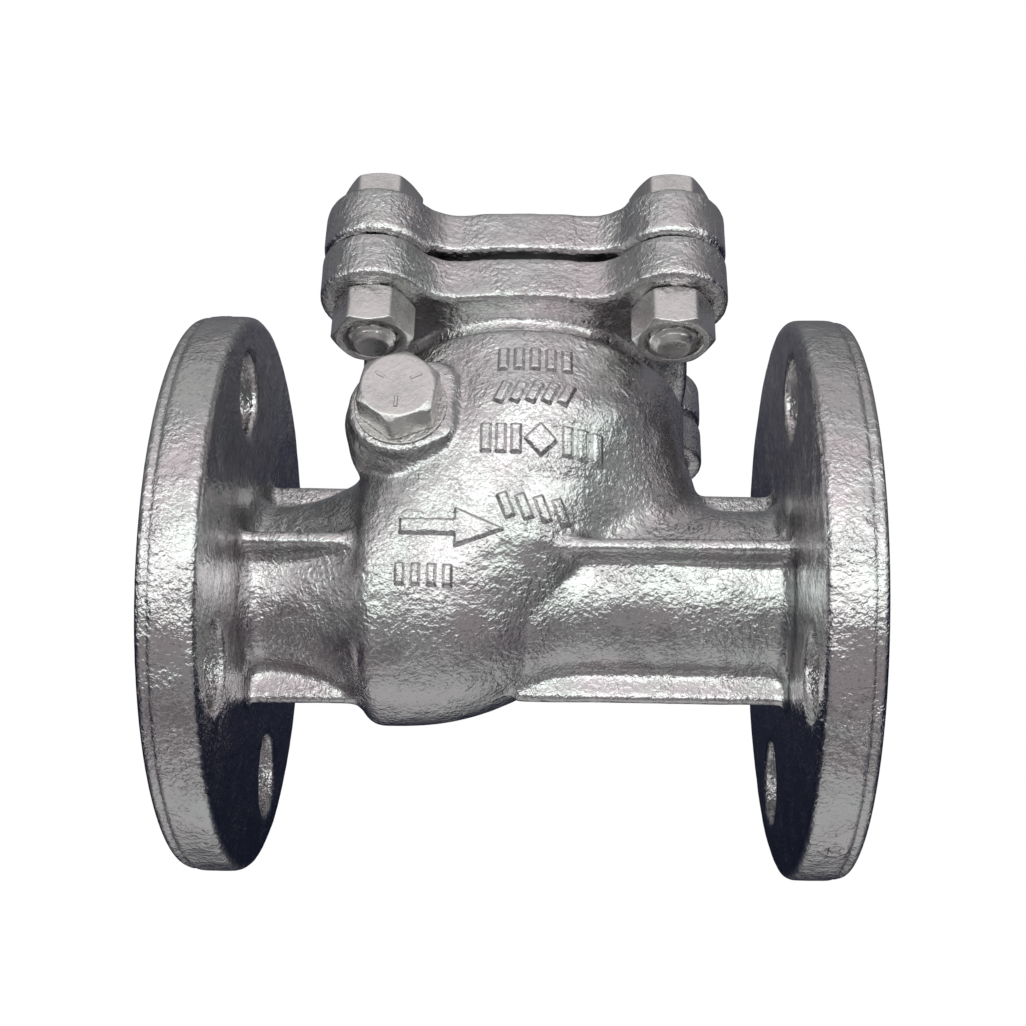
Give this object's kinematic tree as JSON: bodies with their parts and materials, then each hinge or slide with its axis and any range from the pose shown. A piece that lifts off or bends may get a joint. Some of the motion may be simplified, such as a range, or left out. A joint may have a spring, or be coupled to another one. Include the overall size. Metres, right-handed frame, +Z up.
{
  "type": "swing check valve",
  "caption": "Flanged cast steel swing check valve: ribbed body with a bolted cover, a side hinge plug, and a disc on a swing arm that opens with the flow.",
  "frame": {"origin": "centre of the raised face at the inlet", "axes": "+X along the flow from inlet to outlet, +Z up through the cover, -Y towards the hinge plug"},
  "size_m": [0.127, 0.108, 0.1291],
  "materials": {
    "cast_body": "sand-cast steel with a bright aluminium paint",
    "fastener": "zinc-plated steel",
    "soft_iron": "soft iron sealing ring, dull",
    "trim": "turned stainless steel",
    "arm": "bare cast steel",
    "gasket": "graphite sheet"
  },
  "bodies": {
    "valve_body": {"body": "cast_body", "seat_ring": "trim", "bonnet_gasket": "gasket", "bonnet_cover": "cast_body", "cover_bolt_front_left": "fastener", "cover_bolt_front_right": "fastener", "cover_bolt_rear_left": "fastener", "cover_bolt_rear_right": "fastener", "cover_nut_front_left": "fastener", "cover_nut_front_right": "fastener", "cover_nut_rear_left": "fastener", "cover_nut_rear_right": "fastener", "hinge_plug": "fastener", "plug_gasket": "soft_iron"},
    "hinge_pin": {"hinge_pin": "trim"},
    "swing_arm": {"hinge_arm": "arm"},
    "disc_assembly": {"disc": "trim", "disc_washer": "trim", "disc_nut": "trim", "split_pin": "trim"}
  },
  "joints": [
    {"name": "pin_turn", "type": "hinge", "parent": "valve_body", "child": "hinge_pin", "pos_m": [0.0417, 0, 0.023], "axis": [0, 1, 0], "continuous": true},
    {"name": "disc_swing", "type": "hinge", "parent": "valve_body", "child": "swing_arm", "pos_m": [0.0417, 0, 0.023], "axis": [0, -1, 0], "range_deg": [0, 75]},
    {"name": "disc_turn", "type": "hinge", "parent": "swing_arm", "child": "disc_assembly", "pos_m": [0.0459, 0, 0], "axis": [1, 0, 0], "continuous": true}
  ]
}
